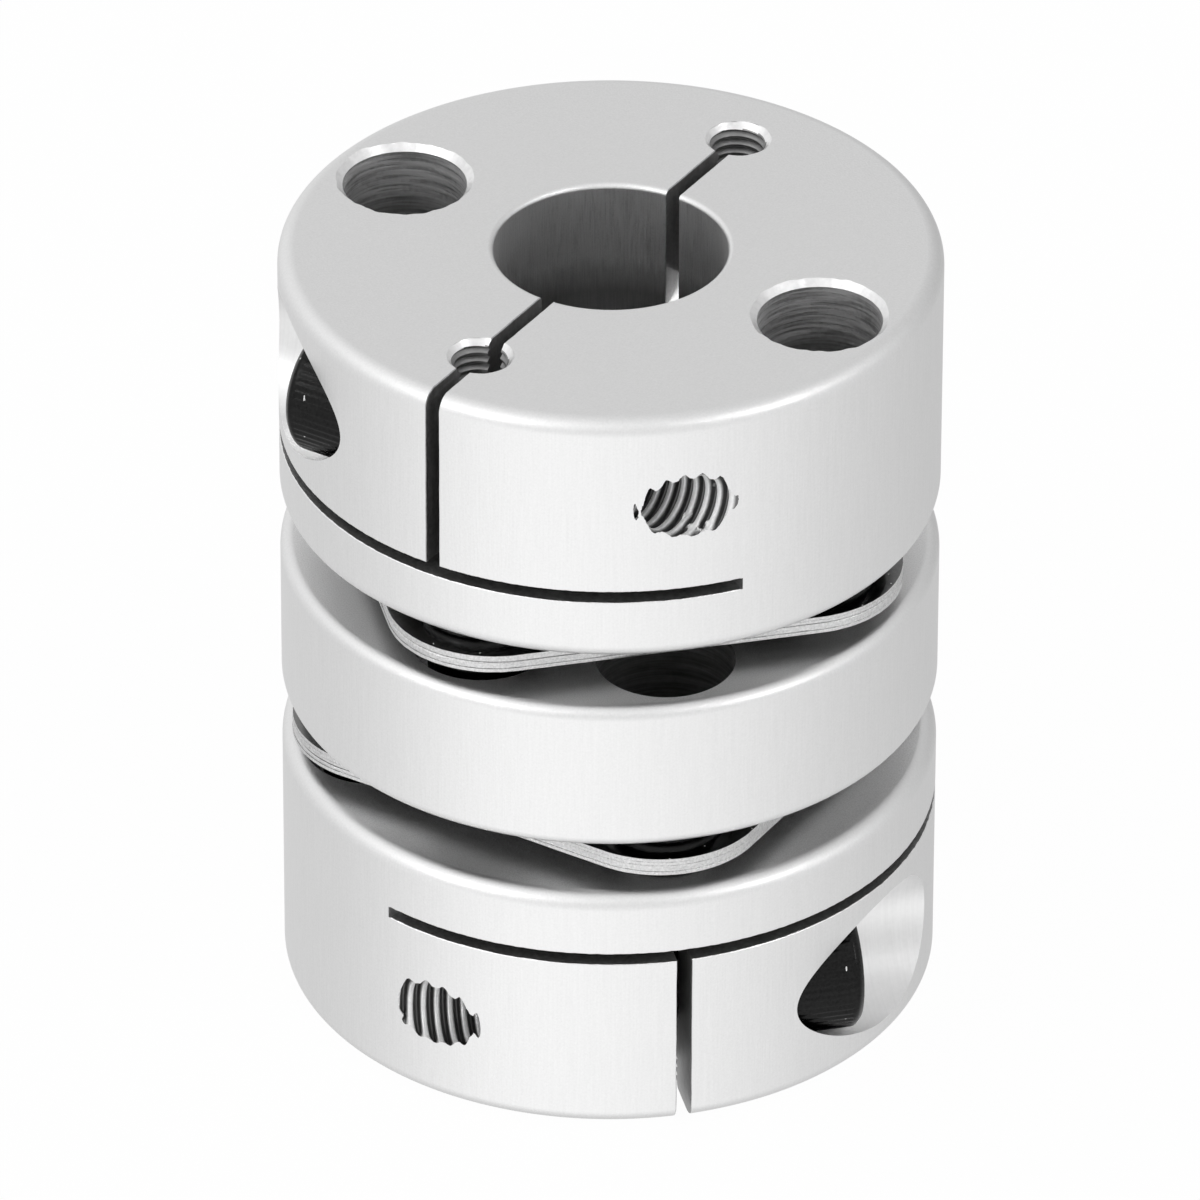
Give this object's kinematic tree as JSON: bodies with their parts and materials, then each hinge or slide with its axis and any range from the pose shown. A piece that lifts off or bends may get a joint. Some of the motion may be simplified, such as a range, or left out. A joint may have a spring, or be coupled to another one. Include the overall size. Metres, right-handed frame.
{
  "type": "disc coupling",
  "caption": "Double disc shaft coupling with two split clamping hubs, a floating centre ring and packs of thin spring steel leaves.",
  "frame": {"origin": "centre of the lower hub's end face, on the axis of both shafts", "axes": "+Z along the shafts, from the lower hub to the upper hub. -Y towards the lower hub's split. The lower clamp screw's head faces +X."},
  "size_m": [0.0348, 0.034, 0.0428],
  "materials": {
    "satin_aluminium": "blasted and clear anodised, satin",
    "black_screw": "black oxide",
    "spring_steel": "bright rolled strip with sheared edges",
    "spacer_steel": "turned, bright"
  },
  "bodies": {
    "root": {"lower_hub": "satin_aluminium", "upper_hub": "satin_aluminium", "centre_ring": "satin_aluminium", "lower_clamp_screw": "black_screw", "upper_clamp_screw": "black_screw", "lower_leaf_1": "spring_steel", "lower_leaf_2": "spring_steel", "lower_leaf_3": "spring_steel", "lower_leaf_4": "spring_steel", "lower_leaf_5": "spring_steel", "lower_bolt_1": "black_screw", "lower_head_spacer_1": "spacer_steel", "lower_seat_spacer_1": "spacer_steel", "lower_bolt_2": "black_screw", "lower_head_spacer_2": "spacer_steel", "lower_seat_spacer_2": "spacer_steel", "lower_bolt_3": "black_screw", "lower_head_spacer_3": "spacer_steel", "lower_seat_spacer_3": "spacer_steel", "lower_bolt_4": "black_screw", "lower_head_spacer_4": "spacer_steel", "lower_seat_spacer_4": "spacer_steel", "upper_leaf_1": "spring_steel", "upper_leaf_2": "spring_steel", "upper_leaf_3": "spring_steel", "upper_leaf_4": "spring_steel", "upper_leaf_5": "spring_steel", "upper_bolt_1": "black_screw", "upper_head_spacer_1": "spacer_steel", "upper_seat_spacer_1": "spacer_steel", "upper_bolt_2": "black_screw", "upper_head_spacer_2": "spacer_steel", "upper_seat_spacer_2": "spacer_steel", "upper_bolt_3": "black_screw", "upper_head_spacer_3": "spacer_steel", "upper_seat_spacer_3": "spacer_steel", "upper_bolt_4": "black_screw", "upper_head_spacer_4": "spacer_steel", "upper_seat_spacer_4": "spacer_steel"}
  },
  "joints": []
}
